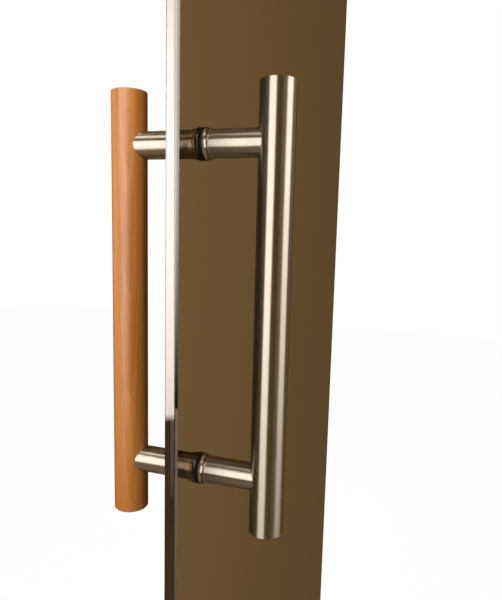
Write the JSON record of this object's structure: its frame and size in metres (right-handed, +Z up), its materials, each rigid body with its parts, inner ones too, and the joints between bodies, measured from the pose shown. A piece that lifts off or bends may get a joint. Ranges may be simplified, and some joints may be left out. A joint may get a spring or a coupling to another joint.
{
  "type": "frameless glass sauna door",
  "caption": "Full-height bronze glass door leaf with a through-bolted steel and beech pull handle, hung on clamp hinges that screw to a wall.",
  "frame": {"origin": "centre of the lower hinge's wall plate, on its flat back face that lies against the wall", "axes": "+X into the wall, out of the plate's back; +Y to the inner side of the door, with the beech bar; +Z up; the closed leaf runs towards -X with its glass mid-plane at Y = 0"},
  "size_m": [0.792, 0.174, 1.89],
  "materials": {
    "bronze_glass": "toughened float glass tinted bronze, flat and clear, polished edges",
    "beech": "steamed beech, turned, sanded and oiled",
    "brushed_steel_bar": "stainless steel, brushed round the bar's length",
    "brushed_steel_post": "stainless steel, finely turned and brushed",
    "satin_steel_hinge": "stainless steel, satin ground",
    "screw_steel": "plain stainless steel",
    "black_rubber": "matt black rubber",
    "black_bush": "black nylon",
    "fibre_pad": "dark pressed fibre"
  },
  "bodies": {
    "wall_plates": {"lower_hinge_wall_plate": "satin_steel_hinge", "upper_hinge_wall_plate": "satin_steel_hinge"},
    "door_leaf": {"glass_leaf": "bronze_glass", "inner_bar": "beech", "lower_bar_screw": "screw_steel", "lower_glass_bush": "black_bush", "lower_hinge_clamp_bolts": "screw_steel", "lower_hinge_inner_clamp": "satin_steel_hinge", "lower_hinge_inner_pad": "fibre_pad", "lower_hinge_outer_clamp": "satin_steel_hinge", "lower_hinge_outer_pad": "fibre_pad", "lower_hinge_pin": "screw_steel", "lower_hinge_pivot_block": "satin_steel_hinge", "lower_inner_flange": "brushed_steel_post", "lower_inner_gasket": "black_rubber", "lower_inner_grub_screw": "screw_steel", "lower_inner_post": "brushed_steel_post", "lower_outer_flange": "brushed_steel_post", "lower_outer_gasket": "black_rubber", "lower_outer_grub_screw": "screw_steel", "lower_outer_post": "brushed_steel_post", "lower_through_stud": "screw_steel", "outer_bar": "brushed_steel_bar", "outer_bar_bottom_cap": "brushed_steel_bar", "outer_bar_top_cap": "brushed_steel_bar", "upper_bar_screw": "screw_steel", "upper_glass_bush": "black_bush", "upper_hinge_clamp_bolts": "screw_steel", "upper_hinge_inner_clamp": "satin_steel_hinge", "upper_hinge_inner_pad": "fibre_pad", "upper_hinge_outer_clamp": "satin_steel_hinge", "upper_hinge_outer_pad": "fibre_pad", "upper_hinge_pin": "screw_steel", "upper_hinge_pivot_block": "satin_steel_hinge", "upper_inner_flange": "brushed_steel_post", "upper_inner_gasket": "black_rubber", "upper_inner_grub_screw": "screw_steel", "upper_inner_post": "brushed_steel_post", "upper_outer_flange": "brushed_steel_post", "upper_outer_gasket": "black_rubber", "upper_outer_grub_screw": "screw_steel", "upper_outer_post": "brushed_steel_post", "upper_through_stud": "screw_steel"}
  },
  "joints": [
    {"name": "leaf_swing", "type": "hinge", "parent": "wall_plates", "child": "door_leaf", "pos_m": [-0.025, 0, 0], "axis": [0, 0, 1], "range_deg": [-90, 90]}
  ]
}
